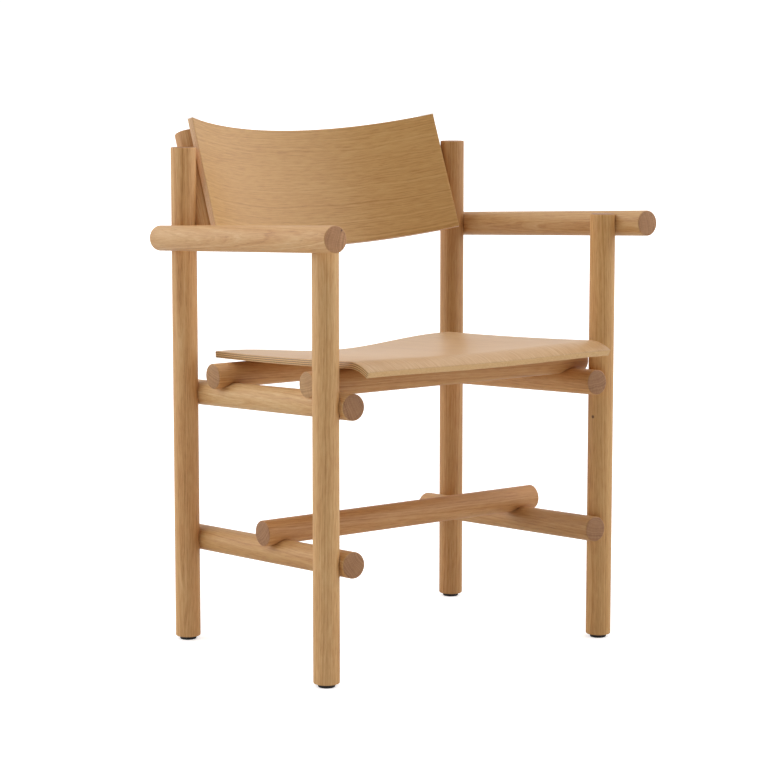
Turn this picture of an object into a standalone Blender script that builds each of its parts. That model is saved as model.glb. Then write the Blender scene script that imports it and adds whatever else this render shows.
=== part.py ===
"""Armchair of round oak bars with a bent plywood seat and back.

Every bar is coped over the bar that carries it and held there by hidden dowels. Metres, +Z up.
The floor is z = 0, the sitter faces -Y, and left and right are the sitter's own (left is +X).
Heights and depths are worked out from the rear posts, whose axes stand at y = 0 in the frame
"chair". That empty is then set back so that the origin is under the middle of the whole chair.
"""
import math

import bmesh
import bpy
from mathutils import Matrix, Vector

MM = 0.001

# Bars
BAR_DIAMETER = 38 * MM
LAP = 8 * MM  # how far each bar is let into the next one
END_ROUND = 1.8 * MM  # rounded rim at the ends of every bar
CLEAR = 0.3 * MM  # gap between pieces that touch
SIDE_RISE = math.radians(3)  # arms and side bars rise this much towards the front

# Legs and side bars
POST_SPACING = 513.5 * MM  # between the post axes, across the chair
LEG_PITCH = 366.5 * MM  # from the rear post axis to the front leg axis
POST_ABOVE_CROSSING = 75.6 * MM  # post top above the point where the back upright passes it
ARM_HEIGHT = 616.8 * MM  # arm axis at the rear post
SEAT_RAIL_HEIGHT = 379.3 * MM  # seat rail axis at the rear post
STRETCHER_HEIGHT = 154.7 * MM  # lower side bar axis at the rear post
ARM_PAST_LEG = 66.5 * MM  # front end of the arm beyond the front leg axis
ARM_PAST_POST = 20 * MM
SIDE_BAR_PAST = 25 * MM  # side bars run this far past both leg axes
LEG_BELOW_ARM_TOP = 3.5 * MM

# Cross bars
REAR_RAIL_GAP = 37 * MM  # clear space from the rear post to the rear cross rail
FRONT_RAIL_GAP = 9 * MM  # clear space from the front leg to the front cross rail
CROSS_BAR_PAST = 29.75 * MM  # all three cross bars run this far past the side bar axes
CROSS_STRETCHER_SETBACK = 205.5 * MM  # in front of the rear post axis

# Seat shell
SEAT_LEG_GAP = 13.25 * MM  # between the seat's side edge and the legs
SEAT_THICKNESS = 10 * MM
SEAT_REAR_GAP = 33.5 * MM  # rear edge in front of the rear post axis
SEAT_PAST_LEG = 57 * MM  # front edge beyond the front leg axis
SEAT_LET_IN_REAR = 7.5 * MM  # depth of the shell in the rear cross rail, on the centre line
SEAT_LET_IN_FRONT = 1 * MM
SEAT_DISH_REAR = 13.3 * MM  # hollow across the seat at its rear edge
SEAT_DISH_FRONT = 2 * MM
SEAT_FLAT_SIDE = 12 * MM  # flat margin at each side edge
SEAT_SWEEP_RADIUS = 10.2  # gentle upward curve from back to front
ROLL_RADIUS = 82 * MM  # rolled front edge
ROLL_ANGLE = math.radians(30)

# Back panel
BACK_POST_GAP = 8.25 * MM  # between the panel's front corner and the post
BACK_HEIGHT = 190.7 * MM
BACK_THICKNESS = 9 * MM
BACK_BEND_RADIUS = 415 * MM  # front face, hollow towards the sitter
BACK_TILT = math.radians(21.3)
BACK_CROSSING = 676.4 * MM  # height at which the upright's axis passes the post's axis
BACK_BELOW_CROSSING = 73.4 * MM  # panel's lower edge below that point, along the tilt
BACK_LET_IN = 5.5 * MM  # depth of the panel in the uprights
UPRIGHT_INSET = 14.7 * MM  # upright ends short of the panel's edges

# Fixings
DOWEL_DIAMETER = 10 * MM
DOWEL_LENGTH = 30 * MM
UPRIGHT_DOWEL_SPACING = 34 * MM
SCREW_DIAMETER = 4 * MM
SCREW_HEAD_DIAMETER = 8 * MM
SCREW_HEAD_HEIGHT = 2.5 * MM
SEAT_SCREW_LENGTH = 30 * MM
BACK_SCREW_LENGTH = 25 * MM
SCREW_COVER = 2.5 * MM  # plywood left over a screw's tip
SEAT_SCREW_SPACING = 160 * MM
BACK_SCREW_FROM_END = 20 * MM  # from the upright's ends

# Glides
GLIDE_DIAMETER = 25 * MM
GLIDE_HEIGHT = 5 * MM
GLIDE_CHAMFER = 1.2 * MM
NAIL_DIAMETER = 2.6 * MM
NAIL_LENGTH = 24 * MM
NAIL_HEAD_DIAMETER = 8 * MM
NAIL_HEAD_HEIGHT = 1.2 * MM
NAIL_HEAD_UP = 1.8 * MM  # plastic under the nail's head

BAR_SIDES = 24
DOWEL_SIDES = 10
TURNED_SIDES = 12
CUTTER_RUN = 10 * MM  # how far a cutter runs past what it cuts

# What follows from those sizes
BAR_RADIUS = BAR_DIAMETER / 2
LAP_OFFSET = BAR_DIAMETER - LAP  # between the axes of two lapped bars
POST_X = POST_SPACING / 2
OUTER_X = POST_X + LAP_OFFSET
INNER_X = POST_X - LAP_OFFSET
LEG_Y = -LEG_PITCH
REAR_RAIL_Y = -BAR_DIAMETER - REAR_RAIL_GAP
FRONT_RAIL_Y = LEG_Y + BAR_DIAMETER + FRONT_RAIL_GAP
CROSS_STRETCHER_Y = -CROSS_STRETCHER_SETBACK
SEAT_WIDTH = POST_SPACING - BAR_DIAMETER - 2 * SEAT_LEG_GAP
BACK_WIDTH = POST_SPACING - BAR_DIAMETER - 2 * BACK_POST_GAP
LEG_BOTTOM = GLIDE_HEIGHT + CLEAR
POST_TOP = BACK_CROSSING + POST_ABOVE_CROSSING
BACK_REAR_RADIUS = BACK_BEND_RADIUS + BACK_THICKNESS
SIDES = (("left", 1), ("right", -1))


def side_bar_z(height, y):
    """Height of a rising side bar's axis at depth y."""
    return height - y * math.tan(SIDE_RISE)


def make_material(name, colour, roughness, metallic=0.0):
    material = bpy.data.materials.new(name)
    material.use_nodes = True
    shader = material.node_tree.nodes["Principled BSDF"]
    shader.inputs["Base Color"].default_value = (*colour, 1)
    shader.inputs["Roughness"].default_value = roughness
    shader.inputs["Metallic"].default_value = metallic
    return material


def finish_mesh(bm, name, smooth_angle=35):
    """Turn a bmesh into a mesh with smooth rounds and crisp rims."""
    bmesh.ops.recalc_face_normals(bm, faces=bm.faces)
    mesh = bpy.data.meshes.new(name)
    bm.to_mesh(mesh)
    bm.free()
    mesh.shade_smooth()
    mesh.set_sharp_from_angle(angle=math.radians(smooth_angle))
    return mesh


def add_object(name, mesh, material=None):
    obj = bpy.data.objects.new(name, mesh)
    bpy.context.scene.collection.objects.link(obj)
    obj.parent = chair
    if material is None:
        obj.hide_render = True
        obj.display_type = "WIRE"
    else:
        mesh.materials.append(material)
    return obj


def point_along(obj, start, direction):
    """Stand an object, modelled up its own Z, at start and along a direction."""
    obj.location = start
    obj.rotation_mode = "QUATERNION"
    obj.rotation_quaternion = Vector(direction).to_track_quat("Z", "Y")


def rod_mesh(name, radius, length, rim, sides):
    """A round rod up the Z axis. A bar's rims are rounded, and a dowel's are chamfered."""
    bm = bmesh.new()
    middle = Matrix.Translation((0, 0, length / 2))
    bmesh.ops.create_cone(
        bm, cap_ends=True, segments=sides, radius1=radius, radius2=radius, depth=length, matrix=middle
    )
    if rim > 0:
        rims = [e for e in bm.edges if abs(e.verts[0].co.z - e.verts[1].co.z) < length / 2]
        steps = 2 if sides == BAR_SIDES else 1
        bmesh.ops.bevel(bm, geom=rims, offset=rim, segments=steps, profile=0.5, affect="EDGES")
    return finish_mesh(bm, name)


def turned_mesh(name, profile, sides=TURNED_SIDES):
    """A solid turned round Z from (radius, height) points, which start and end on the axis."""
    bm = bmesh.new()
    points = [bm.verts.new((radius, 0, height)) for radius, height in profile]
    edges = [bm.edges.new(pair) for pair in zip(points, points[1:])]
    bmesh.ops.spin(
        bm, geom=points + edges, axis=(0, 0, 1), cent=(0, 0, 0), steps=sides, angle=2 * math.pi
    )
    bmesh.ops.remove_doubles(bm, verts=bm.verts, dist=1e-6)
    return finish_mesh(bm, name)


def add_bar(name, start, end, material, radius=BAR_RADIUS, rim=END_ROUND, sides=BAR_SIDES):
    start, end = Vector(start), Vector(end)
    run = end - start
    bar = add_object(name, rod_mesh(name, radius, run.length, rim, sides), material)
    point_along(bar, start, run)
    bars[name] = (start, end)
    return bar


def subtract(target, cutter):
    boolean = bpy.data.objects[target].modifiers.new(cutter.name, "BOOLEAN")
    boolean.operation = "DIFFERENCE"
    boolean.solver = "EXACT"
    boolean.object = cutter


def cope(carried, carrier):
    """Hollow one bar where it lies over another, leaving the clearance between them."""
    start, end = bars[carrier]
    run = (end - start).normalized()
    name = f"cope_{carried}_{carrier}"
    length = (end - start).length + 2 * CUTTER_RUN
    cutter = add_object(name, rod_mesh(name, BAR_RADIUS + CLEAR, length, 0, BAR_SIDES))
    point_along(cutter, start - run * CUTTER_RUN, run)
    subtract(carried, cutter)


def add_dowel(name, contact, direction, joined):
    """A dowel centred on the contact face of two bars, in a blind hole in each."""
    half = Vector(direction).normalized() * DOWEL_LENGTH / 2
    radius = DOWEL_DIAMETER / 2
    add_bar(name, contact - half, contact + half, dowel_wood, radius, DOWEL_DIAMETER / 12, DOWEL_SIDES)
    hole_half = half.normalized() * (DOWEL_LENGTH / 2 + CLEAR)
    low, high = contact - hole_half, contact + hole_half
    hole = add_bar(f"hole_{name}", low, high, None, radius + CLEAR, 0, DOWEL_SIDES)
    for bar in joined:
        subtract(bar, hole)


def add_screw(name, tip, direction, length, pieces):
    """A screw whose head end is length behind its tip, with a hole and counterbore for it."""
    head_top = length + SCREW_HEAD_HEIGHT
    shank = SCREW_DIAMETER / 2
    head = SCREW_HEAD_DIAMETER / 2
    profile = [(0, 0), (shank / 2, 0), (shank, shank), (shank, length), (head, length)]
    profile += [(head, length + SCREW_HEAD_HEIGHT / 2), (head * 0.8, head_top), (0, head_top)]
    screw = add_object(name, turned_mesh(name, profile), steel)
    point_along(screw, tip, direction)
    bore = shank + CLEAR
    counterbore = head + CLEAR
    past = head_top + BAR_DIAMETER
    step = length - CLEAR
    hole_profile = [(0, -CLEAR), (bore, -CLEAR), (bore, step)]
    hole_profile += [(counterbore, step), (counterbore, past), (0, past)]
    hole = add_object(f"hole_{name}", turned_mesh(f"hole_{name}", hole_profile))
    point_along(hole, tip, direction)
    for piece in pieces:
        subtract(piece, hole)


# Seat surface. s is the distance in front of the seat's rear edge.
SEAT_RUN = LEG_PITCH + SEAT_PAST_LEG - SEAT_REAR_GAP
SEAT_CURVATURE = 1 / (2 * SEAT_SWEEP_RADIUS)


def seat_s(y):
    return -SEAT_REAR_GAP - y


def seat_dish(s):
    """Depth of the hollow on the centre line."""
    return SEAT_DISH_REAR + (SEAT_DISH_FRONT - SEAT_DISH_REAR) * s / SEAT_RUN


def rail_top(y):
    return side_bar_z(SEAT_RAIL_HEIGHT, y) + LAP_OFFSET + BAR_RADIUS


def seat_edge_line():
    """Height of the side edges at the rear corner and their slope there, from the two cross rails."""
    heights = []
    for y, let_in in ((REAR_RAIL_Y, SEAT_LET_IN_REAR), (FRONT_RAIL_Y, SEAT_LET_IN_FRONT)):
        s = seat_s(y)
        edge = rail_top(y) - let_in + SEAT_THICKNESS + seat_dish(s)
        heights.append((s, edge - SEAT_CURVATURE * s * s))
    (s0, z0), (s1, z1) = heights
    slope = (z1 - z0) / (s1 - s0)
    return z0 - slope * s0, slope


def seat_section(steps_flat=8, steps_roll=5):
    """(s, z) of the side edge from the rear to the rolled front edge."""
    z0, slope = seat_edge_line()

    def height(s):
        return z0 + slope * s + SEAT_CURVATURE * s * s

    roll_start = SEAT_RUN - ROLL_RADIUS * (math.sin(ROLL_ANGLE) + slope)
    end_slope = math.atan(slope + 2 * SEAT_CURVATURE * roll_start)
    roll_start = SEAT_RUN - ROLL_RADIUS * (math.sin(ROLL_ANGLE) + math.sin(end_slope))
    section = []
    for i in range(steps_flat + 1):
        s = roll_start * i / steps_flat
        section.append((s, height(s)))
    top = height(roll_start) - ROLL_RADIUS * math.cos(end_slope)
    for i in range(1, steps_roll + 1):
        angle = -end_slope + (ROLL_ANGLE + end_slope) * i / steps_roll
        s = SEAT_RUN + ROLL_RADIUS * (math.sin(angle) - math.sin(ROLL_ANGLE))
        section.append((s, top + ROLL_RADIUS * math.cos(angle)))
    return section


def seat_drop(x, s):
    """How far the hollow drops below the side edges at x."""
    hollow = SEAT_WIDTH / 2 - SEAT_FLAT_SIDE
    if abs(x) >= hollow:
        return 0.0
    return seat_dish(s) * (1 + math.cos(math.pi * x / hollow)) / 2


def seat_underside(x, y):
    z0, slope = seat_edge_line()
    s = seat_s(y)
    return z0 + slope * s + SEAT_CURVATURE * s * s - seat_drop(x, s) - SEAT_THICKNESS


def sheet_mesh(name, rows):
    """A mesh of quads through rows of points."""
    bm = bmesh.new()
    grid = [[bm.verts.new(point) for point in row] for row in rows]
    for low, high in zip(grid, grid[1:]):
        for i in range(len(low) - 1):
            bm.faces.new((low[i], low[i + 1], high[i + 1], high[i]))
    return finish_mesh(bm, name)


def add_shell(name, rows, thickness, away, material=None):
    """A bent plywood sheet: its face runs through the rows, and its thickness goes the way of away."""
    mesh = sheet_mesh(name, rows)
    if mesh.polygons[len(mesh.polygons) // 2].normal.dot(away) > 0:
        mesh.flip_normals()
    shell = add_object(name, mesh, material)
    solidify = shell.modifiers.new("thickness", "SOLIDIFY")
    solidify.thickness = thickness
    solidify.offset = -1
    solidify.use_even_offset = True
    return shell


def seat_rows(columns=16):
    half = SEAT_WIDTH / 2
    rows = []
    for s, z in seat_section():
        xs = [-half + SEAT_WIDTH * i / columns for i in range(columns + 1)]
        rows.append([(x, -SEAT_REAR_GAP - s, z - seat_drop(x, s)) for x in xs])
    return rows


def back_rows(columns=20, rows=1):
    """Panel points in its own frame: X across, Y to the rear of the edge line, Z up the tilt."""
    half_angle = math.asin(BACK_WIDTH / 2 / BACK_BEND_RADIUS)
    edge = BACK_BEND_RADIUS * math.cos(half_angle)
    angles = [half_angle * (2 * i / columns - 1) for i in range(columns + 1)]
    arc = [(BACK_BEND_RADIUS * math.sin(a), BACK_BEND_RADIUS * math.cos(a) - edge) for a in angles]
    return [[(x, y, BACK_HEIGHT * j / rows) for x, y in arc] for j in range(rows + 1)]


# Start from an empty scene
for old in list(bpy.data.objects):
    bpy.data.objects.remove(old)

oak = make_material("oiled_oak", (0.56, 0.36, 0.19), 0.5)
seat_veneer = make_material("oak_seat_plywood", (0.60, 0.42, 0.24), 0.42)
back_veneer = make_material("oak_back_plywood", (0.47, 0.29, 0.13), 0.45)
dowel_wood = make_material("beech_dowel", (0.66, 0.47, 0.30), 0.6)
steel = make_material("zinc_steel", (0.62, 0.62, 0.60), 0.35, 1.0)
glide_plastic = make_material("black_polyethylene", (0.02, 0.02, 0.022), 0.45)

chair = bpy.data.objects.new("chair", None)
bpy.context.scene.collection.objects.link(chair)
bars = {}

# Rear posts and front legs
leg_top = side_bar_z(ARM_HEIGHT, LEG_Y) + BAR_RADIUS - LEG_BELOW_ARM_TOP
for side, sign in SIDES:
    x = sign * POST_X
    add_bar(f"rear_post_{side}", (x, 0, LEG_BOTTOM), (x, 0, POST_TOP), oak)
    add_bar(f"front_leg_{side}", (x, LEG_Y, LEG_BOTTOM), (x, LEG_Y, leg_top), oak)

# Arms outside the legs, seat rails and lower stretchers inside them
for side, sign in SIDES:
    for name, reach, height, past_leg, past_post in (
        ("arm", OUTER_X, ARM_HEIGHT, ARM_PAST_LEG, ARM_PAST_POST),
        ("seat_rail", INNER_X, SEAT_RAIL_HEIGHT, SIDE_BAR_PAST, SIDE_BAR_PAST),
        ("stretcher", INNER_X, STRETCHER_HEIGHT, SIDE_BAR_PAST, SIDE_BAR_PAST),
    ):
        rear_y = past_post
        front_y = LEG_Y - past_leg
        rear_end = (sign * reach, rear_y, side_bar_z(height, rear_y))
        front_end = (sign * reach, front_y, side_bar_z(height, front_y))
        add_bar(f"{name}_{side}", rear_end, front_end, oak)
        for place, carrier, y in (("rear", "rear_post", 0), ("front", "front_leg", LEG_Y)):
            cope(f"{name}_{side}", f"{carrier}_{side}")
            outward = sign if reach > POST_X else -sign
            contact = Vector((sign * POST_X + outward * BAR_RADIUS, y, side_bar_z(height, y)))
            joined = (f"{name}_{side}", f"{carrier}_{side}")
            add_dowel(f"dowel_{name}_{place}_{side}", contact, (outward, 0, 0), joined)

# Cross bars, saddled over the side bars
for name, carrier, height, y in (
    ("cross_rail_front", "seat_rail", SEAT_RAIL_HEIGHT, FRONT_RAIL_Y),
    ("cross_rail_rear", "seat_rail", SEAT_RAIL_HEIGHT, REAR_RAIL_Y),
    ("cross_stretcher", "stretcher", STRETCHER_HEIGHT, CROSS_STRETCHER_Y),
):
    reach = INNER_X + CROSS_BAR_PAST
    carrier_z = side_bar_z(height, y)
    z = carrier_z + LAP_OFFSET
    add_bar(name, (-reach, y, z), (reach, y, z), oak)
    for side, sign in SIDES:
        cope(name, f"{carrier}_{side}")
        contact = Vector((sign * INNER_X, y, carrier_z + BAR_RADIUS))
        add_dowel(f"dowel_{name}_{side}", contact, (0, 0, 1), (name, f"{carrier}_{side}"))

# Seat shell, let into both cross rails and screwed up from below
add_shell("seat_shell", seat_rows(), SEAT_THICKNESS, Vector((0, 0, -1)), seat_veneer)
seat_cutter = add_shell("cutter_seat", seat_rows(), SEAT_THICKNESS + CLEAR, Vector((0, 0, -1)))
for place, y in (("front", FRONT_RAIL_Y), ("rear", REAR_RAIL_Y)):
    subtract(f"cross_rail_{place}", seat_cutter)
    for side, sign in SIDES:
        x = sign * SEAT_SCREW_SPACING / 2
        tip = Vector((x, y, seat_underside(x, y) + SEAT_THICKNESS - SCREW_COVER))
        pieces = (f"cross_rail_{place}", "seat_shell")
        add_screw(f"seat_screw_{place}_{side}", tip, (0, 0, -1), SEAT_SCREW_LENGTH, pieces)

# Back uprights, lapped on the posts and parallel to the tilted panel
tilt_up = Vector((0, math.sin(BACK_TILT), math.cos(BACK_TILT)))
tilt_rear = Vector((0, math.cos(BACK_TILT), -math.sin(BACK_TILT)))
crossing = Vector((0, 0, BACK_CROSSING))
upright_radius = BACK_REAR_RADIUS + BAR_RADIUS - BACK_LET_IN  # upright axis to the centre of the bend
upright_depth = math.sqrt(upright_radius**2 - INNER_X**2)
edge_depth = math.sqrt(BACK_BEND_RADIUS**2 - (BACK_WIDTH / 2) ** 2)
panel_foot = crossing - tilt_up * BACK_BELOW_CROSSING - tilt_rear * (upright_depth - edge_depth)


def back_point(x, depth, up):
    """A point of the tilted back: depth is behind the centre of its bend, up is from its lower edge."""
    return panel_foot + Vector((x, 0, 0)) + tilt_rear * (depth - edge_depth) + tilt_up * up


for side, sign in SIDES:
    name = f"back_upright_{side}"
    x = sign * INNER_X
    low = back_point(x, upright_depth, UPRIGHT_INSET)
    high = back_point(x, upright_depth, BACK_HEIGHT - UPRIGHT_INSET)
    add_bar(name, low, high, oak)
    cope(name, f"rear_post_{side}")
    for place, step in (("upper", 1), ("lower", -1)):
        rise = step * UPRIGHT_DOWEL_SPACING / 2
        y = rise * math.tan(BACK_TILT) / 2
        contact = Vector((sign * (POST_X - BAR_RADIUS), y, BACK_CROSSING + rise))
        joined = (name, f"rear_post_{side}")
        add_dowel(f"dowel_upright_{place}_{side}", contact, (sign, 0, 0), joined)

# Back panel, let into the uprights and screwed on from behind
for name, thickness, material in (
    ("back_panel", BACK_THICKNESS, back_veneer),
    ("cutter_back", BACK_THICKNESS + CLEAR, None),
):
    panel = add_shell(name, back_rows(), thickness, Vector((0, 1, 0)), material)
    panel.location = panel_foot
    panel.rotation_euler = (-BACK_TILT, 0, 0)
back_cutter = bpy.data.objects["cutter_back"]
for side, sign in SIDES:
    name = f"back_upright_{side}"
    subtract(name, back_cutter)
    lean = math.asin(INNER_X / upright_radius)
    rearward = Vector((sign * math.sin(lean), 0, 0)) + tilt_rear * math.cos(lean)
    tip_radius = BACK_BEND_RADIUS + SCREW_COVER
    for place, up in (
        ("upper", BACK_HEIGHT - UPRIGHT_INSET - BACK_SCREW_FROM_END),
        ("lower", UPRIGHT_INSET + BACK_SCREW_FROM_END),
    ):
        tip = back_point(sign * tip_radius * math.sin(lean), tip_radius * math.cos(lean), up)
        add_screw(f"back_screw_{place}_{side}", tip, rearward, BACK_SCREW_LENGTH, (name, "back_panel"))

# Glides, each with its moulded-in nail
for place, post, y in (("rear", "rear_post", 0), ("front", "front_leg", LEG_Y)):
    for side, sign in SIDES:
        foot = Vector((sign * POST_X, y, 0))
        rim = GLIDE_DIAMETER / 2
        profile = [(0, 0), (rim - GLIDE_CHAMFER, 0), (rim, GLIDE_CHAMFER)]
        profile += [(rim, GLIDE_HEIGHT), (0, GLIDE_HEIGHT)]
        mesh = turned_mesh("glide", profile, BAR_SIDES)
        glide = add_object(f"glide_{place}_{side}", mesh, glide_plastic)
        glide.location = foot
        for name, grow, material in (
            (f"glide_nail_{place}_{side}", 0, steel),
            (f"hole_nail_{place}_{side}", CLEAR, None),
        ):
            shank = NAIL_DIAMETER / 2 + grow
            head = NAIL_HEAD_DIAMETER / 2 + grow
            low = NAIL_HEAD_UP - grow
            neck = NAIL_HEAD_UP + NAIL_HEAD_HEIGHT + grow
            top = NAIL_HEAD_UP + NAIL_LENGTH + grow
            nail_profile = [(0, low), (head, low), (head, neck)]
            nail_profile += [(shank, neck), (shank, top - shank), (0, top)]
            nail = add_object(name, turned_mesh(name, nail_profile, DOWEL_SIDES), material)
            nail.location = foot
        for piece in (glide.name, f"{post}_{side}"):
            subtract(piece, bpy.data.objects[f"hole_nail_{place}_{side}"])

# Set the chair so that the origin is on the floor under the middle of its outline
front_most = LEG_Y - ARM_PAST_LEG - BAR_RADIUS * math.sin(SIDE_RISE)
rear_most = back_point(0, BACK_REAR_RADIUS, BACK_HEIGHT).y
chair.location = (0, -(front_most + rear_most) / 2, 0)
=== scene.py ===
# %% [markdown]
# # An armchair of round oak bars
# The chair is made of straight round bars, laid over one another like logs. Each bar is hollowed
# where it crosses the bar that carries it, and hidden dowels hold the two together. The seat and
# the back are bent plywood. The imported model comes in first: it is the measured frame, and every
# piece made here takes its place from it.

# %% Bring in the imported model
import math

import bpy
import numpy as np
from mathutils import Matrix, Vector
from mathutils.bvhtree import BVHTree


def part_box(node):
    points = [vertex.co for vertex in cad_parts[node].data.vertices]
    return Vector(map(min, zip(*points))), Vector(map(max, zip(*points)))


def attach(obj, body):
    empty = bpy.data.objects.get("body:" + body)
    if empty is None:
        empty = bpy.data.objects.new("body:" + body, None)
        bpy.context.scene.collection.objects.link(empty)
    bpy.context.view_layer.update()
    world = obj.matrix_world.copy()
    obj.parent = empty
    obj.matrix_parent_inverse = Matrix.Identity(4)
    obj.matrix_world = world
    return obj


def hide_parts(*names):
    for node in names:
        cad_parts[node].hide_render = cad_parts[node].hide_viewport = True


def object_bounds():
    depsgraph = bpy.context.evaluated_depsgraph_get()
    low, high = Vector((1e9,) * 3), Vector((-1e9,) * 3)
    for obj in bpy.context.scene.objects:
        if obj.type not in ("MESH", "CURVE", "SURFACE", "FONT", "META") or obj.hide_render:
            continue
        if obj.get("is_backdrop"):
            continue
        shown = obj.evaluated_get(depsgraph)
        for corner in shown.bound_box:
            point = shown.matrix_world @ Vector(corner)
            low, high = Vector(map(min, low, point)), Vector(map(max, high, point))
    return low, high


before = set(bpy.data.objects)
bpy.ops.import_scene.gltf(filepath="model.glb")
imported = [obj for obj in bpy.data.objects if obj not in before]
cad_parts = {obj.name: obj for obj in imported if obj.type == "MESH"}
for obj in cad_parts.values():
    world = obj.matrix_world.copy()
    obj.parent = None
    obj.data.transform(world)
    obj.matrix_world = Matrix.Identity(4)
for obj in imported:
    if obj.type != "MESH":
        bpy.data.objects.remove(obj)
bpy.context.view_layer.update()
MM = 0.001
SIDES = ("left", "right")

# %% [markdown]
# ## The camera
# A long lens, far away, keeps parallel bars nearly parallel. It stands in front of the sitter and to
# their right, a little higher than the chair, and looks slightly down.

# %% Camera
LOOK_DOWN = 0.13
LOOK_ASIDE = 0.6411
bpy.ops.object.select_all(action="DESELECT")
bpy.ops.object.camera_add(
    location=(-2.2102, -2.9442, 0.8757),
    rotation=(math.radians(90) - LOOK_DOWN, 0, -LOOK_ASIDE),
)
camera = bpy.context.object
camera.name = "camera"
camera.data.lens = 114.74
camera.data.sensor_width = 36
bpy.context.scene.camera = camera
print("camera looks down by", round(math.degrees(LOOK_DOWN), 1), "degrees")

# %% [markdown]
# ## The studio
# A chair like this is shown on a white sheet. One plane is enough for it, so large that its edge is
# far out of view. It is staged, so it isn't part of the chair.

# %% Floor
bpy.ops.mesh.primitive_plane_add(size=60, location=(0, 0, 0))
floor = bpy.context.object
floor.name = "studio_floor"
floor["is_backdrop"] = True
print("floor", round(floor.dimensions.x), "m wide")

# %% [markdown]
# ## Three helpers for materials
# Colours are written as the hex numbers a painter would pick on screen. Shaders need linear light,
# so one function converts them. The second helper adds a shader node, sets its options, its colour
# stops and its inputs in one call. The third starts a material with a plain uniform shader. A Mix
# node's sockets are known by number only, so three names stand for them: how much, and from which
# colour to which.

# %% Material helpers
BY, FROM, TO = 0, 6, 7


def linear(hex_colour):
    """A screen colour such as C49C6E as linear red, green, blue and alpha."""
    parts = [int(hex_colour[i : i + 2], 16) / 255 for i in (0, 2, 4)]
    parts = [c / 12.92 if c <= 0.04045 else ((c + 0.055) / 1.055) ** 2.4 for c in parts]
    return (*parts, 1)


def add(tree, kind, inputs=(), stops=(), **options):
    """Add a node with its options and colour stops, and link or set its inputs. Gives its output."""
    node = tree.nodes.new("ShaderNode" + kind)
    for key, value in options.items():
        setattr(node, key, value)
    if stops:
        points = node.color_ramp.elements
        for position, hex_colour in stops[1:-1]:
            points.new(position)
        for point, (position, hex_colour) in zip(points, stops):
            point.position = position
            point.color = linear(hex_colour)
    for key, value in dict(inputs).items():
        if isinstance(value, bpy.types.NodeSocket):
            tree.links.new(value, node.inputs[key])
        else:
            node.inputs[key].default_value = value
    return next(socket for socket in node.outputs if socket.enabled)


def new_material(name, roughness, ior):
    material = bpy.data.materials.new(name)
    material.use_nodes = True
    shader = material.node_tree.nodes["Principled BSDF"]
    shader.inputs["Roughness"].default_value = roughness
    shader.inputs["IOR"].default_value = ior
    return material, material.node_tree, shader


print("orange-brown in linear light:", [round(c, 3) for c in linear("C49C6E")[:3]])

# %% [markdown]
# The floor is painted board: matt, almost white, with a trace of roller texture. It also glows
# faintly to the camera alone, as a lightbox does, so that it fades into the white surroundings and
# keeps only soft shadows.

# %% Floor paint
paint, tree, shader = new_material("matt_white_paint", 0.9, 1.45)
place = tree.nodes.new("ShaderNodeTexCoord").outputs["Object"]
roller = add(tree, "TexNoise", {"Vector": place, "Scale": 120.0, "Detail": 3.0})
coat = add(tree, "ValToRGB", {"Fac": roller}, [(0, "F0F0EF"), (1, "F6F6F5")])
tree.links.new(coat, shader.inputs["Base Color"])
shader.inputs["Emission Color"].default_value = (1, 1, 1, 1)
seen = tree.nodes.new("ShaderNodeLightPath").outputs["Is Camera Ray"]
glow = add(tree, "Math", {0: seen, 1: 0.65}, operation="MULTIPLY")
tree.links.new(glow, shader.inputs["Emission Strength"])
floor.data.materials.append(paint)
print("floor paint:", paint.name)

# %% [markdown]
# ## Lights and surroundings
# Round bars read best when both their sides are lit and their middle is a little darker, so two
# broad soft lights stand left and right of the view, and a third hangs above. The backdrop is
# white, so the lacquered seat has something bright to mirror. The side of the room in front of the
# chair is dark, which keeps the wood's colour deep. Only mirrored rays see that room: the camera
# sees plain white, and the wood is lit by the three lights.

# %% Lights and surroundings
SPREAD = math.radians(70)


def add_sun(name, towards, strength):
    """A distant soft light that shines along a direction."""
    bpy.ops.object.light_add(type="SUN", location=(0, 0, 3))
    sun = bpy.context.object
    sun.name = name
    sun.data.energy = strength
    sun.data.angle = SPREAD
    sun.rotation_mode = "QUATERNION"
    sun.rotation_quaternion = Vector(towards).to_track_quat("-Z", "Y")


add_sun("top_light", (0, 0, -1), 1.48)
add_sun("left_light", (0.8, -0.6, -0.35), 1.8)
add_sun("right_light", (-0.8, 0.6, -0.35), 1.67)

world = bpy.data.worlds.new("white_studio")
bpy.context.scene.world = world
world.use_nodes = True
sky = world.node_tree
path = sky.nodes.new("ShaderNodeLightPath")
around = sky.nodes.new("ShaderNodeTexCoord").outputs["Generated"]
behind_chair = (math.sin(LOOK_ASIDE), math.cos(LOOK_ASIDE), 0)
heading = add(sky, "VectorMath", {0: around, 1: behind_chair}, operation="DOT_PRODUCT")
room = {"Value": heading, "From Min": -0.2, "From Max": 0.5, "To Min": 0.12, "To Max": 1.0}
room = add(sky, "MapRange", room)
mirrored = add(sky, "Math", {0: path.outputs["Is Glossy Ray"], 1: room, 2: 0.04}, operation="MULTIPLY_ADD")
strength = add(sky, "Math", {0: path.outputs["Is Camera Ray"], 1: mirrored}, operation="ADD")
sky.nodes["Background"].inputs["Color"].default_value = (1, 1, 1, 1)
sky.links.new(strength, sky.nodes["Background"].inputs["Strength"])
bpy.context.scene.view_settings.view_transform = "Standard"

# %% [markdown]
# ## Where each bar runs
# Every bar is a plain rod, so its centre line and its ends say everything. The direction of each
# kind of bar is known from the design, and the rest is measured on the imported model. A joint
# may cut away one side of a bar, so the centre line is taken one radius in from its upper or rear
# side, which is whole at the bar's ends.

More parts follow.
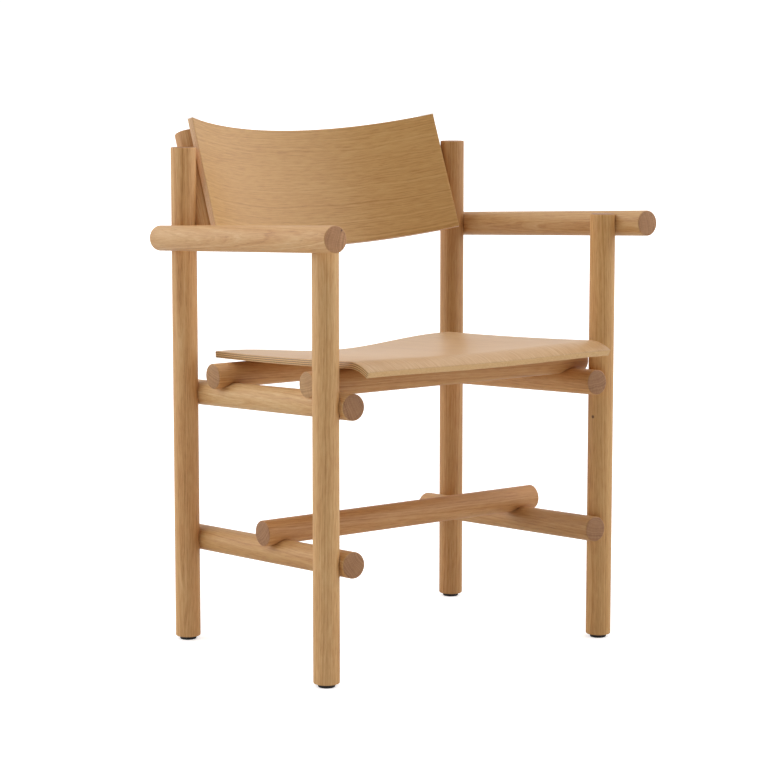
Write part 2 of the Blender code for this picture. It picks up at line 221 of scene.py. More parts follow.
# %% Bar directions and centre lines
RISE = math.radians(3)
TILT = math.radians(21.3)
UP = Vector((0, 0, 1))
ACROSS = Vector((1, 0, 0))
FORWARD = Vector((0, -math.cos(RISE), math.sin(RISE)))
TILT_UP = Vector((0, math.sin(TILT), math.cos(TILT)))
TILT_REAR = TILT_UP.cross(ACROSS)

post_low, post_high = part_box("rear_post_left")
BAR_RADIUS = (post_high.x - post_low.x) / 2
CLEAR = 0.3 * MM


def node_points(name):
    points = np.empty(len(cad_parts[name].data.vertices) * 3)
    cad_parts[name].data.vertices.foreach_get("co", points)
    return points.reshape(-1, 3)


def centre_line(name, along):
    """Both ends of a bar's centre line, measured on its node."""
    points = node_points(name)
    uncut = UP if along == ACROSS else along.cross(ACROSS)
    sideways = uncut.cross(along)
    height = points @ np.array(uncut)
    width = points @ np.array(sideways)
    run = points @ np.array(along)
    base = uncut * (height.max() - BAR_RADIUS) + sideways * (width.max() + width.min()) / 2
    return base + along * run.min(), base + along * run.max()


lines = {}
for side in SIDES:
    for kind, along in (
        ("rear_post", UP),
        ("front_leg", UP),
        ("arm", FORWARD),
        ("seat_rail", FORWARD),
        ("stretcher", FORWARD),
        ("back_upright", TILT_UP),
    ):
        lines[f"{kind}_{side}"] = centre_line(f"{kind}_{side}", along)
for name in ("cross_rail_front", "cross_rail_rear", "cross_stretcher"):
    lines[name] = centre_line(name, ACROSS)
for name, (start, end) in lines.items():
    print(name, round((end - start).length / MM, 1), "mm long")

# %% [markdown]
# ## Turning the bars
# On a real chair every bar starts as a 38 mm turned rod, cut to length, with the sharp rim eased
# by a sander. Here a cylinder of the right length gets its two rims bevelled in edit mode. Bars of
# one length are modelled once and copied. A 96-sided cylinder stays round in close views.

# %% Turn one rod, copy it for every bar of its length
BAR_SIDES = 96
RIM = 1.8 * MM
rods = {}
bars = {}


def pick(obj):
    bpy.ops.object.select_all(action="DESELECT")
    obj.select_set(True)
    bpy.context.view_layer.objects.active = obj


def turn_rod(length):
    """A round bar up the Z axis with eased rims."""
    bpy.ops.mesh.primitive_cylinder_add(vertices=BAR_SIDES, radius=BAR_RADIUS, depth=length)
    rod = bpy.context.object
    bpy.ops.object.mode_set(mode="EDIT")
    bpy.ops.mesh.select_mode(type="EDGE")
    bpy.ops.mesh.select_all(action="DESELECT")
    bpy.ops.object.mode_set(mode="OBJECT")
    heights = [v.co.z for v in rod.data.vertices]
    for edge in rod.data.edges:
        a, b = edge.vertices
        edge.select = abs(heights[a] - heights[b]) < length / 2
    bpy.ops.object.mode_set(mode="EDIT")
    bpy.ops.mesh.bevel(offset=RIM, segments=5, affect="EDGES")
    bpy.ops.object.mode_set(mode="OBJECT")
    return rod


def stand_along(obj, start, end):
    """Put an object, modelled up Z about its middle, on a line, and fold its place into its mesh."""
    turn = (end - start).to_track_quat("Z", "Y").to_matrix().to_4x4()
    obj.matrix_world = Matrix.Translation((start + end) / 2) @ turn
    pick(obj)
    bpy.ops.object.transform_apply(location=True, rotation=True, scale=True)


for name, (start, end) in lines.items():
    length = round((end - start).length, 5)
    if length not in rods:
        rods[length] = turn_rod(length)
        rods[length].name = f"rod_{length}"
    bar = rods[length].copy()
    bar.data = rods[length].data.copy()
    bar.name = f"oak_{name}"
    bpy.context.scene.collection.objects.link(bar)
    stand_along(bar, start, end)
    bars[name] = bar
for rod in rods.values():
    bpy.data.objects.remove(rod)
print(len(bars), "bars from", len(rods), "rod lengths")

# %% [markdown]
# ## Coping the joints
# Where a bar crosses the one that carries it, a hollow of the same roundness is cut in it, so the
# two sit snugly. The arms, seat rails and lower side bars are hollowed for the legs, the cross bars
# for the side bars, and the back uprights for the posts. A boolean with a slightly larger cylinder
# cuts each hollow, which leaves the fine shadow line that a dry joint has.

# %% Hollow each carried bar
def cut(target, cutter):
    pick(target)
    boolean = target.modifiers.new("cut", "BOOLEAN")
    boolean.operation = "DIFFERENCE"
    boolean.solver = "EXACT"
    boolean.object = cutter
    bpy.ops.object.modifier_apply(modifier=boolean.name)


def cylinder_along(start, end, radius, sides):
    bpy.ops.mesh.primitive_cylinder_add(vertices=sides, radius=radius, depth=(end - start).length)
    cylinder = bpy.context.object
    stand_along(cylinder, start, end)
    return cylinder


carried_by = {}
for side in SIDES:
    for kind in ("arm", "seat_rail", "stretcher", "back_upright"):
        carried_by.setdefault(f"rear_post_{side}", []).append(f"{kind}_{side}")
        if kind != "back_upright":
            carried_by.setdefault(f"front_leg_{side}", []).append(f"{kind}_{side}")
    carried_by[f"seat_rail_{side}"] = ["cross_rail_front", "cross_rail_rear"]
    carried_by[f"stretcher_{side}"] = ["cross_stretcher"]
for carrier, carried in carried_by.items():
    start, end = lines[carrier]
    past = (end - start).normalized() * 10 * MM
    cutter = cylinder_along(start - past, end + past, BAR_RADIUS + CLEAR, BAR_SIDES)
    for name in carried:
        cut(bars[name], cutter)
    bpy.data.objects.remove(cutter)
print(sum(len(v) for v in carried_by.values()), "hollows cut")

# %% [markdown]
# ## Counterbores
# The seat and the back are held by screws that come through the bars from below and from behind,
# with their heads sunk out of sight. Each screw's own node says where its axis runs and how wide
# its head is, and a cylinder a little wider drills the bar from there outwards.

# %% Counterbores
DRILL_SIDES = 48
screws = sorted(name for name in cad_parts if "_screw_" in name)
for name in screws:
    kind, _, place, side = name.split("_")
    target = f"cross_rail_{place}" if kind == "seat" else f"back_upright_{side}"
    points = node_points(name)
    middle = points.mean(0)
    axis = Vector(np.linalg.svd(points - middle)[2][0])
    run = (points - middle) @ np.array(axis)
    wide = np.linalg.norm(points - middle - np.outer(run, np.array(axis)), axis=1)
    head = wide > wide.max() * 0.9
    if run[head].mean() < 0:
        axis, run = -axis, -run
    foot = Vector(middle) + axis * (run[head].min() - CLEAR)
    drill = cylinder_along(foot, foot + axis * 2.2 * BAR_RADIUS, wide.max() + CLEAR, DRILL_SIDES)
    cut(bars[target], drill)
    bpy.data.objects.remove(drill)
print(len(screws), "counterbores")

# %% [markdown]
# ## The seat
# The seat is a sheet of 10 mm plywood, pressed hot between two moulds: hollow across, deepest at
# the back, swept up a little towards the front, and rolled down over the front edge. It starts as
# a flat grid of the size of the unbent sheet. Each point is then moved to its place on the mould,
# a Solidify modifier gives the sheet its thickness, and a small bevel eases the sawn edges.

# %% The seat's mould
SEAT_THICKNESS = 10 * MM
SEAT_RUN = 390 * MM
SEAT_REAR_HEIGHT = 445.334 * MM
SEAT_SLOPE = 0.033964
SEAT_SWEEP_RADIUS = 10.2
ROLL_RADIUS = 82 * MM
ROLL_ANGLE = math.radians(30)
DISH_REAR, DISH_FRONT = 13.3 * MM, 2 * MM
FLAT_SIDE = 12 * MM

seat_low, seat_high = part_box("seat_shell")
SEAT_WIDTH = seat_high.x - seat_low.x
roll_start = 343.444 * MM
end_slope = math.atan(SEAT_SLOPE + roll_start / SEAT_SWEEP_RADIUS)
roll_length = ROLL_RADIUS * (ROLL_ANGLE + end_slope)


def edge_height(s):
    return SEAT_REAR_HEIGHT + SEAT_SLOPE * s + s * s / (2 * SEAT_SWEEP_RADIUS)


def seat_point(x, run):
    """The point of the seat's top at x across and run along the sheet from its rear edge."""
    s, z = run, edge_height(run)
    if run > roll_start:
        angle = (run - roll_start) / ROLL_RADIUS - end_slope
        s = SEAT_RUN + ROLL_RADIUS * (math.sin(angle) - math.sin(ROLL_ANGLE))
        z = edge_height(roll_start) + ROLL_RADIUS * (math.cos(angle) - math.cos(end_slope))
    hollow = SEAT_WIDTH / 2 - FLAT_SIDE
    if abs(x) < hollow:
        dish = DISH_REAR + (DISH_FRONT - DISH_REAR) * s / SEAT_RUN
        z -= dish * (1 + math.cos(math.pi * x / hollow)) / 2
    return Vector((x, seat_high.y - s, z))


def seat_run(y):
    """Distance along the sheet for a depth y on its top."""
    s = seat_high.y - y
    if s <= roll_start:
        return s
    turned = math.asin(min(1, (s - SEAT_RUN) / ROLL_RADIUS + math.sin(ROLL_ANGLE)))
    return roll_start + (turned + end_slope) * ROLL_RADIUS


print("unbent sheet:", round(SEAT_WIDTH / MM), "x", round((roll_start + roll_length) / MM), "mm")


# %% Press the sheet
def thicken(sheet, thickness):
    """Give a sheet its thickness and ease its sawn edges."""
    pick(sheet)
    solid = sheet.modifiers.new("plies", "SOLIDIFY")
    solid.thickness = thickness
    solid.offset = -1
    solid.use_even_offset = True
    bpy.ops.object.modifier_apply(modifier=solid.name)
    eased = sheet.modifiers.new("eased", "BEVEL")
    eased.width = 0.6 * MM
    eased.segments = 2
    eased.limit_method = "ANGLE"
    eased.angle_limit = math.radians(60)
    bpy.ops.object.modifier_apply(modifier=eased.name)
    bpy.ops.object.shade_smooth_by_angle(angle=math.radians(35))


bpy.ops.object.select_all(action="DESELECT")
bpy.ops.mesh.primitive_grid_add(x_subdivisions=90, y_subdivisions=110, size=1)
seat = bpy.context.object
seat.name = "bent_seat"
for vertex in seat.data.vertices:
    run = (vertex.co.y + 0.5) * (roll_start + roll_length)
    vertex.co = seat_point(-vertex.co.x * SEAT_WIDTH, run)
faces = [face.vertices for face in seat.data.polygons]
seat_top = BVHTree.FromPolygons([vertex.co for vertex in seat.data.vertices], faces)
thicken(seat, SEAT_THICKNESS)
print("seat:", len(seat.data.polygons), "faces")

# %% [markdown]
# ## The back
# The back is a 9 mm sheet bent to a plain arc, hollow towards the sitter, and tipped back with the
# uprights. The grid is wrapped round the arc, thickened, then stood in its place.

# %% Bend and stand the back
BACK_THICKNESS = 9 * MM
BACK_RADIUS = 415 * MM
back_points = node_points("back_panel")
depths = back_points @ np.array(TILT_REAR)
heights = back_points @ np.array(TILT_UP)
foot_depth, foot_up = depths.min(), heights.min()
BACK_HEIGHT = heights.max() - foot_up
half_chord = back_points[depths - foot_depth < 0.01 * MM, 0].max()
half_angle = math.asin(half_chord / BACK_RADIUS)
back_foot = TILT_REAR * (foot_depth - BACK_RADIUS * math.cos(half_angle)) + TILT_UP * foot_up

bpy.ops.object.select_all(action="DESELECT")
bpy.ops.mesh.primitive_grid_add(x_subdivisions=130, y_subdivisions=40, size=1)
back = bpy.context.object
back.name = "bent_back"
for vertex in back.data.vertices:
    angle = vertex.co.x * 2 * half_angle
    across = ACROSS * math.sin(angle) * BACK_RADIUS
    depth = TILT_REAR * math.cos(angle) * BACK_RADIUS
    vertex.co = back_foot + across + depth + TILT_UP * (vertex.co.y + 0.5) * BACK_HEIGHT
thicken(back, BACK_THICKNESS)
print("back:", round(2 * half_angle * BACK_RADIUS / MM), "mm round the arc")

# %% [markdown]
# ## Oak, from the inside
# The bars are white oak, planed and turned to rods, and rubbed with a matt oil, which keeps the
# wood pale and lets the grain show. Wood is a solid: its rings run right through it, so lines on
# the side of a bar meet arcs on its end. The pattern is therefore worked out in three dimensions,
# in the tree's own frame: Z runs up the trunk, and the rings are cylinders about its middle. Every
# bar carries an attribute, "grain", that says where in the tree each of its points grew.

# %% The figure of oak
RING = 2.2  # mm, the width of a year's growth
FIBRES = (1.6, 1.6, 24)  # mm, a bundle of fibres
PORES = (0.7, 0.7, 11)  # mm; real pores are 0.3 mm wide and wouldn't show
WAVES = (26, 26, 170)  # mm, how far apart the trunk's bends and swellings are
CLOUDS = (30, 30, 150)  # mm, paler and darker parts


def scaled(tree, place, x, y, z):
    """A place in mm, as noise that changes over x, y and z mm."""
    return add(tree, "VectorMath", {0: place, 1: (1 / x, 1 / y, 1 / z)}, operation="MULTIPLY")


def oak_figure(tree, place, wander):
    """Rings, fibres, pores and clouds, each from 0 to 1, for a place in mm in the tree's frame."""
    slow = add(tree, "TexNoise", {"Vector": scaled(tree, place, *WAVES), "Scale": 1.0, "Detail": 2.0})
    swing = slow.node.outputs["Color"]
    swing = add(tree, "VectorMath", {0: swing, 1: (0.5, 0.5, 0.5)}, operation="SUBTRACT")
    swing = add(tree, "VectorMath", {0: swing, 1: (wander, wander, 0)}, operation="MULTIPLY")
    bent = add(tree, "VectorMath", {0: place, 1: swing}, operation="ADD")

    flat = add(tree, "VectorMath", {0: bent, 1: (1, 1, 0)}, operation="MULTIPLY")
    radius = add(tree, "VectorMath", {0: flat}, operation="LENGTH")
    years = add(tree, "Math", {0: radius, 1: RING}, operation="DIVIDE")
    growth = {"W": years, "Scale": 0.8, "Detail": 3.0, "Roughness": 0.6}
    rings = add(tree, "TexNoise", growth, noise_dimensions="1D")
    season = add(tree, "Math", {0: years}, operation="FRACT")
    early = {"Value": season, "From Max": 0.4, "To Min": 1.0, "To Max": 0.0}
    spring = add(tree, "MapRange", early, interpolation_type="SMOOTHSTEP")

    bundles = {"Vector": scaled(tree, bent, *FIBRES), "Scale": 1.0, "Detail": 4.0, "Roughness": 0.65}
    fibres = add(tree, "TexNoise", bundles)
    flecks = add(tree, "TexNoise", {"Vector": scaled(tree, bent, *PORES), "Scale": 1.0, "Detail": 2.0})
    pores = add(tree, "MapRange", {"Value": flecks, "From Min": 0.56, "From Max": 0.7})
    pores = add(tree, "Math", {0: pores, 1: spring}, operation="MULTIPLY")
    clouds = add(tree, "TexNoise", {"Vector": scaled(tree, place, *CLOUDS), "Scale": 1.0, "Detail": 2.0})
    return {
        "bent": bent,
        "radius": radius,
        "rings": rings,
        "spring": spring,
        "fibres": fibres,
        "pores": pores,
        "clouds": clouds,
    }


def weigh(tree, figure, weights):
    """The sum of the figure's parts times their weights."""
    total = 0.0
    for part, weight in weights.items():
        total = add(tree, "Math", {0: figure[part], 1: weight, 2: total}, operation="MULTIPLY_ADD")
    return total


def in_mm(tree, attribute):
    """A place that is stored on the piece, in mm."""
    place = tree.nodes.new("ShaderNodeAttribute")
    place.attribute_name = attribute
    return add(tree, "VectorMath", {0: place.outputs["Vector"], "Scale": 1 / MM}, operation="SCALE")


print("rings every", RING, "mm")

# %% [markdown]
# ## Oiled oak for the bars
# Along the bar the wood is pale tan with browner lines where the open spring pores were cut. On the
# sawn ends the pores stand on end and drink more oil, so the ends are darker, greyer and pinker,
# A third attribute, a factor for red, green and blue, holds the tone of each bar's wood, which
# differs from rod to rod because no two rods come from one tree, together with painted shade that
# darkens bars standing farther from the lights or behind other parts. On the sawn ends it holds
# painted light and shade instead.

# %% Oiled oak
def oiled_oak(name, knots=()):
    """Solid oak. knots are (place in metres, radius in mm) pairs of pin knots."""
    material, tree, shader = new_material(name, 0.5, 1.5)
    figure = oak_figure(tree, in_mm(tree, "grain"), 9)
    tone = weigh(tree, figure, {"rings": 0.34, "fibres": 0.46, "clouds": 0.18, "spring": -0.03})
    stops = [(0.3, "AF7A45"), (0.42, "CA955A"), (0.52, "D7A86D"), (0.66, "E2BB84")]
    long_grain = add(tree, "ValToRGB", {"Fac": tone}, stops)
    pores = add(tree, "Math", {0: figure["pores"], 1: 0.45}, operation="MULTIPLY")
    long_grain = add(tree, "Mix", {BY: pores, FROM: long_grain, TO: linear("935E31")}, data_type="RGBA")

    apart = add(tree, "SeparateXYZ", {0: figure["bent"]}).node
    turn = add(tree, "Math", {0: apart.outputs["Y"], 1: apart.outputs["X"]}, operation="ARCTAN2")
    turn = add(tree, "Math", {0: turn, 1: 90.0}, operation="MULTIPLY")
    outwards = add(tree, "Math", {0: figure["radius"], 1: 0.06}, operation="MULTIPLY")
    fan = add(tree, "CombineXYZ", {"X": turn, "Y": outwards})
    figure["rays"] = add(tree, "TexNoise", {"Vector": fan, "Scale": 1.0, "Detail": 2.0})
    tone = weigh(tree, figure, {"rings": 0.4, "rays": 0.4, "clouds": 0.2})
    end_grain = add(tree, "ValToRGB", {"Fac": tone}, [(0.3, "805333"), (0.48, "9D6F46"), (0.65, "B4855A")])

    sawn = tree.nodes.new("ShaderNodeAttribute")
    sawn.attribute_name = "sawn"
    tone_and_shade = tree.nodes.new("ShaderNodeAttribute")
    tone_and_shade.attribute_name = "tone_and_shade"
    ends = {BY: sawn.outputs["Fac"], FROM: long_grain, TO: end_grain}
    colour = add(tree, "Mix", ends, data_type="RGBA")
    # Multiply by the stored factor: the wood's own tone with painted shade on the sides, painted light and
    # shade on the sawn ends.
    colour = add(tree, "VectorMath", {0: colour, 1: tone_and_shade.outputs["Vector"]}, operation="MULTIPLY")
    for where, radius in knots:
        spot = tree.nodes.new("ShaderNodeTexCoord").outputs["Object"]
        off = add(tree, "VectorMath", {0: spot, 1: where}, operation="SUBTRACT")
        reach = add(tree, "VectorMath", {0: off}, operation="LENGTH")
        rim = {"From Min": radius * 0.5 * MM, "From Max": radius * 1.3 * MM, "To Min": 0.85, "To Max": 0.0}
        dark = add(tree, "MapRange", {"Value": reach, **rim}, interpolation_type="SMOOTHSTEP")
        colour = add(tree, "Mix", {BY: dark, FROM: colour, TO: linear("4A2C18")}, data_type="RGBA")
    tree.links.new(colour, shader.inputs["Base Color"])

    sheen = {"Value": figure["fibres"], "From Min": 0.3, "From Max": 0.7, "To Min": 0.46, "To Max": 0.6}
    tree.links.new(add(tree, "MapRange", sheen), shader.inputs["Roughness"])
    relief = weigh(tree, figure, {"fibres": 0.5, "pores": -0.8})
    bump = add(tree, "Bump", {"Height": relief, "Strength": 0.35, "Distance": 0.15 * MM})
    tree.links.new(bump, shader.inputs["Normal"])
    return material


oak = oiled_oak("oiled_white_oak")
print("node count of the oak:", len(oak.node_tree.nodes))

# %% [markdown]
# ## Where in the tree each bar grew, and its painted shade
# How a bar looks depends on where it was sawn. If the middle of the tree is beyond the bar, seen
# from the front, the rings lie flat to the eye and show as long arches. If it is off to one side,
# they show as straight lines. Each bar gets a direction to the middle of the tree, its distance in
# mm, a slope of the trunk along the bar, which draws the arches out, and a factor for red, green
# and blue against the average. That factor is partly the wood's own tone and partly painted shade:
# bars that stand farther from the lights, or under and behind other parts, are made darker. The
# sawn ends get a factor of their own, which is painted light and shade: the ends of the arms and
# cross rails are made paler, all other ends a little darker.

# %% Grain, sawn ends, and wood tone with painted shade and light for every bar
# The last column is each bar's wood tone together with painted shade, darker for bars that stand far from
# the lights or behind other parts.
GROWTH_AND_SHADE = {
    "rear_post_left": (150, 80, 0.012, (0.80, 0.73, 0.66)),
    "rear_post_right": (215, 62, 0.015, (1.03, 1.01, 1.03)),
    "front_leg_left": (-30, 74, 0.018, (0.97, 0.94, 0.87)),
    "front_leg_right": (140, 70, 0.014, (1.0, 1.02, 1.07)),
    "arm_left": (190, 66, 0.02, (0.89, 0.91, 0.98)),
    "arm_right": (-12, 58, 0.034, (0.97, 1.0, 1.14)),
    "seat_rail_left": (100, 70, 0.02, (0.97, 0.91, 0.88)),
    "seat_rail_right": (25, 64, 0.024, (1.0, 1.07, 1.2)),
    "stretcher_left": (80, 66, 0.02, (0.80, 0.76, 0.74)),
    "stretcher_right": (35, 60, 0.026, (0.88, 0.86, 0.84)),
    "back_upright_left": (60, 75, 0.02, (0.96, 0.89, 0.90)),
    "back_upright_right": (160, 75, 0.02, (0.96, 0.89, 0.90)),
    "cross_rail_front": (75, 58, 0.022, (0.82, 0.74, 0.69)),
    "cross_rail_rear": (110, 66, 0.02, (0.96, 0.88, 0.83)),
    "cross_stretcher": (50, 60, 0.028, (0.92, 0.81, 0.77)),
}
# Painted light and shade on the sawn ends: the ends of the arms and cross rails are made paler, all other
# ends a little darker.
PAINTED_END_SHADE = (0.96, 0.93, 0.91)
PAINTED_END_LIGHT = {
    "arm_left": (1.14, 1.14, 1.18),
    "arm_right": (1.25, 1.26, 1.33),
    "cross_rail_front": (1.29, 1.47, 1.45),
    "cross_rail_rear": (1.12, 1.18, 1.14),
}


def put_values(piece, name, kind, domain, values):
    attribute = piece.data.attributes.new(name, kind, domain)
    field = "vector" if kind == "FLOAT_VECTOR" else "value"
    attribute.data.foreach_set(field, np.asarray(values, np.float32).ravel())


def mesh_points(piece):
    points = np.empty(len(piece.data.vertices) * 3)
    piece.data.vertices.foreach_get("co", points)
    return points.reshape(-1, 3)


for number, (name, (angle, distance, slope, tone_and_shade)) in enumerate(GROWTH_AND_SHADE.items()):
    bar = bars[name]
    start, end = lines[name]
    along = (end - start).normalized()
    aside = Vector((0, 1, 0)) if abs(along.x) > 0.9 else ACROSS
    over = along.cross(aside)
    to_pith = aside * math.cos(math.radians(angle)) + over * math.sin(math.radians(angle))
    points = mesh_points(bar) - np.array((start + end) / 2)
    run = points @ np.array(along)
    inward = points @ np.array(to_pith) - distance * MM + slope * run
    sideways = points @ np.array(along.cross(to_pith))
    put_values(bar, "grain", "FLOAT_VECTOR", "POINT", np.stack([inward, sideways, run + 0.9 * number], 1))
    pick(bar)
    bpy.ops.object.shade_smooth_by_angle(angle=math.radians(30))
    normals = np.empty(len(bar.data.polygons) * 3)
    bar.data.polygons.foreach_get("normal", normals)
    facing = np.abs(normals.reshape(-1, 3) @ np.array(along))
    sawn = np.clip(facing * 1.6 - 0.6, 0, 1)
    # The sawn faces take the painted end light and shade in place of the bar's factor.
    painted_end_shading = PAINTED_END_LIGHT.get(name, PAINTED_END_SHADE)
    put_values(bar, "sawn", "FLOAT", "FACE", sawn)
    put_values(bar, "tone_and_shade", "FLOAT_VECTOR", "FACE", np.outer(1 - sawn, tone_and_shade) + np.outer(sawn, painted_end_shading))
    bar.data.materials.clear()
    bar.data.materials.append(oak)
    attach(bar, "root")
    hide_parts(name)
print(len(GROWTH_AND_SHADE), "bars grained")

# %% [markdown]
# One leg has a pin knot just under the seat rail, the size of a match head, and one arm has a small
# dark fleck near the rim of its front end. Such marks are left in by a maker who likes real wood.
# Each of those two bars gets its own oak with a dark spot at that place.

# %% Two small knots
leg_end = lines["front_leg_left"][1]
arm_end = lines["arm_right"][1]
leg_knot = Vector((leg_end.x, leg_end.y, 0.344)) + Vector((-0.982, -0.187, 0)) * BAR_RADIUS
arm_fleck = arm_end + Vector((0.55, 0, 0.62)) * BAR_RADIUS
bars["front_leg_left"].data.materials[0] = oiled_oak("oiled_white_oak_leg", [(leg_knot, 2.5)])
bars["arm_right"].data.materials[0] = oiled_oak("oiled_white_oak_arm", [(arm_fleck, 1.6)])
print("knot", round(leg_knot.z / MM), "mm above the floor")

# %% [markdown]
# ## Plywood
# Each sheet has seven plies. The outer ones are oak veneer, sliced thin, under a satin lacquer that
# mirrors the room a little at a low angle. Where the sheet is sawn, the plies show as stripes:
# plies that run along the cut are pale, those that run into it show their end grain, which is
# darker. The attribute "grain" gives, in the sheet's own frame, how far a point is across the
# veneer's grain, how deep it lies, and how far along the grain.

# %% Oak plywood
PLIES = 7
VENEER = 0.65  # mm
GLUE = 0.16  # of a ply's thickness


def oak_plywood(name, thickness, stops, core_stops, pith, dark_side):
    """Veneered plywood. pith is the middle of the tree seen from the sheet, in mm."""
    material, tree, shader = new_material(name, 0.42, 1.5)
    place = in_mm(tree, "grain")
    figure = oak_figure(tree, add(tree, "VectorMath", {0: place, 1: pith}, operation="SUBTRACT"), 14)
    tone = weigh(tree, figure, {"rings": 0.32, "fibres": 0.5, "clouds": 0.14, "spring": -0.03})
    veneer = add(tree, "ValToRGB", {"Fac": tone}, stops)
    pores = add(tree, "Math", {0: figure["pores"], 1: 0.3}, operation="MULTIPLY")
    veneer = add(tree, "Mix", {BY: pores, FROM: veneer, TO: linear("8A6236")}, data_type="RGBA")

    deep = add(tree, "SeparateXYZ", {0: place}).node.outputs["Y"]
    plies = add(tree, "Math", {0: deep, 1: PLIES / thickness}, operation="MULTIPLY")
    count = add(tree, "Math", {0: plies}, operation="FLOOR")
    odd = add(tree, "Math", {0: count, 1: 2.0}, operation="MODULO")
    normal = tree.nodes.new("ShaderNodeTexCoord").outputs["Normal"]
    facing = add(tree, "SeparateXYZ", {0: normal}).node.outputs[dark_side]
    facing = add(tree, "Math", {0: facing}, operation="ABSOLUTE")
    end_on = add(tree, "Math", {0: odd, 1: facing}, operation="MULTIPLY")
    end_on = add(tree, "Math", {0: end_on, 1: 0.75}, operation="MULTIPLY")
    part = add(tree, "Math", {0: plies}, operation="FRACT")
    glue = add(tree, "Math", {0: part, 1: 1 - GLUE}, operation="GREATER_THAN")
    seam = add(tree, "MapRange", {"Value": facing, "To Min": 0.12, "To Max": 0.4})
    glue = add(tree, "Math", {0: glue, 1: seam}, operation="MULTIPLY")

    hairs = add(tree, "TexNoise", {"Vector": scaled(tree, place, 3, 0.5, 3), "Scale": 1.0, "Detail": 3.0})
    core = add(tree, "ValToRGB", {"Fac": hairs}, core_stops)
    core = add(tree, "Mix", {BY: end_on, FROM: core, TO: linear("7E5A38")}, data_type="RGBA")
    core = add(tree, "Mix", {BY: glue, FROM: core, TO: linear("6B4526")}, data_type="RGBA")
    under = add(tree, "Math", {0: deep, 1: VENEER}, operation="GREATER_THAN")
    above = add(tree, "Math", {0: deep, 1: thickness - VENEER}, operation="LESS_THAN")
    inside = add(tree, "Math", {0: under, 1: above}, operation="MULTIPLY")
    colour = add(tree, "Mix", {BY: inside, FROM: veneer, TO: core}, data_type="RGBA")
    tree.links.new(colour, shader.inputs["Base Color"])

    sheen = {"Value": figure["fibres"], "From Min": 0.3, "From Max": 0.7, "To Min": 0.36, "To Max": 0.48}
    tree.links.new(add(tree, "MapRange", sheen), shader.inputs["Roughness"])
    relief = weigh(tree, figure, {"fibres": 0.4, "pores": -0.6})
    bump = add(tree, "Bump", {"Height": relief, "Strength": 0.25, "Distance": 0.1 * MM})
    tree.links.new(bump, shader.inputs["Normal"])
    return material


print(PLIES, "plies")

# %% Grain on the seat: front to back
seat_grain = []
for point in mesh_points(seat):
    place, _, _, depth = seat_top.find_nearest(Vector(point))
    seat_grain.append((place.x, depth, seat_run(place.y)))
put_values(seat, "grain", "FLOAT_VECTOR", "POINT", seat_grain)
thick = SEAT_THICKNESS / MM
seat_stops = [(0.32, "BD8F5E"), (0.48, "CFA678"), (0.65, "DBB98D")]
seat_core = [(0.3, "D2A36A"), (0.7, "E8C28B")]
seat_ply = oak_plywood("lacquered_seat_plywood", thick, seat_stops, seat_core, (210, 120, 0), "X")
seat.data.materials.append(seat_ply)
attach(seat, "root")
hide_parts("seat_shell")
print("deepest grain point", round(max(g[1] for g in seat_grain) / MM, 2), "mm")

# %% Grain on the back: side to side
local = mesh_points(back) - np.array(back_foot)
across = local[:, 0]
depth = local @ np.array(TILT_REAR)
upwards = local @ np.array(TILT_UP)
inwards = np.hypot(across, depth) - BACK_RADIUS
sideways = np.arctan2(across, depth) * BACK_RADIUS
put_values(back, "grain", "FLOAT_VECTOR", "POINT", np.stack([upwards, inwards, sideways], 1))
thick = BACK_THICKNESS / MM
back_stops = [(0.32, "B78348"), (0.48, "CE9E60"), (0.65, "DAB075")]
back_core = [(0.3, "F0BE8E"), (0.7, "FFD6AA")]
back_ply = oak_plywood("lacquered_back_plywood", thick, back_stops, back_core, (-160, 110, 0), "Z")
back.data.materials.append(back_ply)
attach(back, "root")
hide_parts("back_panel")
print("back grain runs", round(2 * half_angle * BACK_RADIUS / MM), "mm")

# %% [markdown]
# ## Glides
# Under each leg is a black polyethylene disc, 5 mm high, moulded round the head of a nail. Its lower
# rim is chamfered so that it slides over a carpet, and a shallow moulded ring marks its underside.

# %% Mould one glide, copy it four times
plastic, tree, shader = new_material("black_polyethylene", 0.45, 1.5)
spot = tree.nodes.new("ShaderNodeTexCoord").outputs["Object"]
speckle = add(tree, "TexNoise", {"Vector": spot, "Scale": 1 / (0.6 * MM), "Detail": 2.0})
black = add(tree, "ValToRGB", {"Fac": speckle}, [(0.3, "121213"), (0.7, "1E1E1F")])
tree.links.new(black, shader.inputs["Base Color"])
haze = add(tree, "MapRange", {"Value": speckle, "To Min": 0.38, "To Max": 0.55})
tree.links.new(haze, shader.inputs["Roughness"])

glide_low, glide_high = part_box("glide_front_left")
glide_radius = (glide_high.x - glide_low.x) / 2
glide_height = glide_high.z - glide_low.z


def select_faces(obj, wanted):
    bpy.ops.object.mode_set(mode="EDIT")
    bpy.ops.mesh.select_mode(type="FACE")
    bpy.ops.mesh.select_all(action="DESELECT")
    bpy.ops.object.mode_set(mode="OBJECT")
    for face in obj.data.polygons:
        face.select = wanted(face)
    bpy.ops.object.mode_set(mode="EDIT")


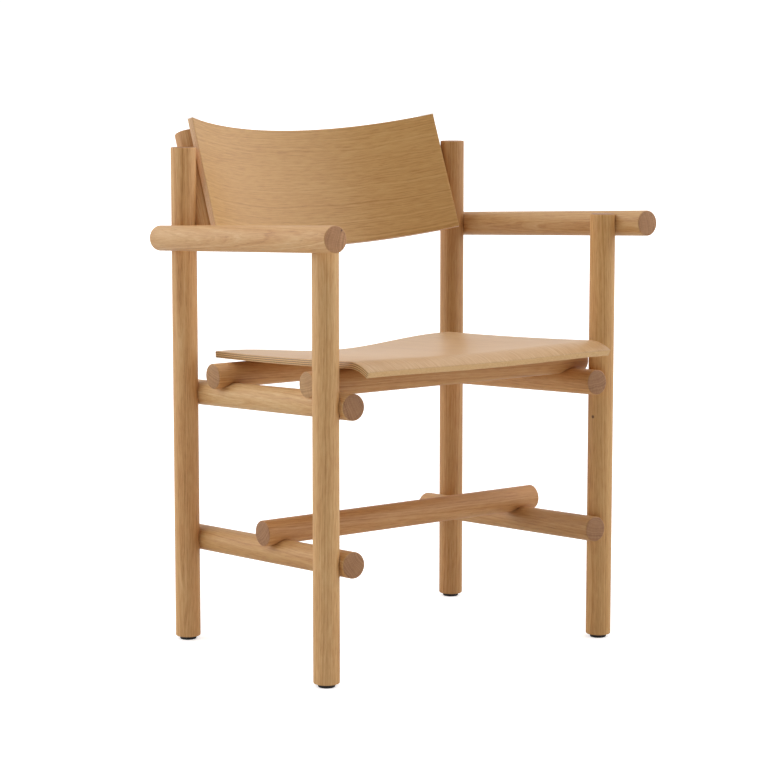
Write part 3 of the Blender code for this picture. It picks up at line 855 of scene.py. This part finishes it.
bpy.ops.mesh.primitive_cylinder_add(vertices=64, radius=glide_radius, depth=glide_height)
model = bpy.context.object
select_faces(model, lambda face: face.normal.z < -0.9)
bpy.ops.mesh.bevel(offset=1.2 * MM, segments=3, affect="EDGES")
bpy.ops.object.mode_set(mode="OBJECT")
select_faces(model, lambda face: face.normal.z < -0.99)
bpy.ops.mesh.inset(thickness=2.5 * MM)
bpy.ops.mesh.inset(thickness=0.5 * MM, depth=-0.35 * MM)
bpy.ops.mesh.inset(thickness=0.8 * MM)
bpy.ops.mesh.inset(thickness=0.5 * MM, depth=0.35 * MM)
bpy.ops.object.mode_set(mode="OBJECT")
pick(model)
bpy.ops.object.shade_smooth_by_angle(angle=math.radians(30))
model.data.materials.append(plastic)
for place in ("front", "rear"):
    for side in SIDES:
        low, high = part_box(f"glide_{place}_{side}")
        glide = model.copy()
        glide.data = model.data.copy()
        glide.name = f"moulded_glide_{place}_{side}"
        bpy.context.scene.collection.objects.link(glide)
        glide.location = (low + high) / 2
        pick(glide)
        bpy.ops.object.transform_apply(location=True, rotation=True, scale=True)
        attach(glide, "root")
        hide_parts(f"glide_{place}_{side}")
bpy.data.objects.remove(model)
print("glides", round(2 * glide_radius / MM), "mm across")

# %% [markdown]
# ## Screws, dowels and nails
# The dowels in the joints, the screws and the nails of the glides are small turned parts whose
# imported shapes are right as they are, so they only get better materials: bright zinc plate on the
# steel, and beech, which is what dowels are made of.

# %% Zinc plate and beech
zinc, tree, shader = new_material("bright_zinc_plate", 0.34, 1.5)
shader.inputs["Metallic"].default_value = 1.0
spot = tree.nodes.new("ShaderNodeTexCoord").outputs["Object"]
bloom = add(tree, "TexNoise", {"Vector": spot, "Scale": 1 / (1.5 * MM), "Detail": 3.0})
bright = add(tree, "ValToRGB", {"Fac": bloom}, [(0.3, "B9BBBB"), (0.7, "D2D3D1")])
tree.links.new(bright, shader.inputs["Base Color"])
haze = add(tree, "MapRange", {"Value": bloom, "To Min": 0.28, "To Max": 0.42})
tree.links.new(haze, shader.inputs["Roughness"])

beech, tree, shader = new_material("planed_beech", 0.6, 1.5)
spot = tree.nodes.new("ShaderNodeTexCoord").outputs["Object"]
flecked = add(tree, "TexNoise", {"Vector": spot, "Scale": 1 / (0.9 * MM), "Detail": 3.0})
pale = add(tree, "ValToRGB", {"Fac": flecked}, [(0.35, "B98E68"), (0.7, "D9B591")])
tree.links.new(pale, shader.inputs["Base Color"])

for name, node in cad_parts.items():
    if "dowel" in name:
        node.material_slots[0].material = beech
    if "screw" in name or "nail" in name:
        node.material_slots[0].material = zinc
print("shown as packed:", sum(not node.hide_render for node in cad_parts.values()), "nodes")

# %% [markdown]
# ## Measure and finish
# The finished chair should fill the same box as the imported one, so its box is printed.

# %% Sizes
low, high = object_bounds()
print("made", [round(v / MM, 2) for v in high - low], "mm")
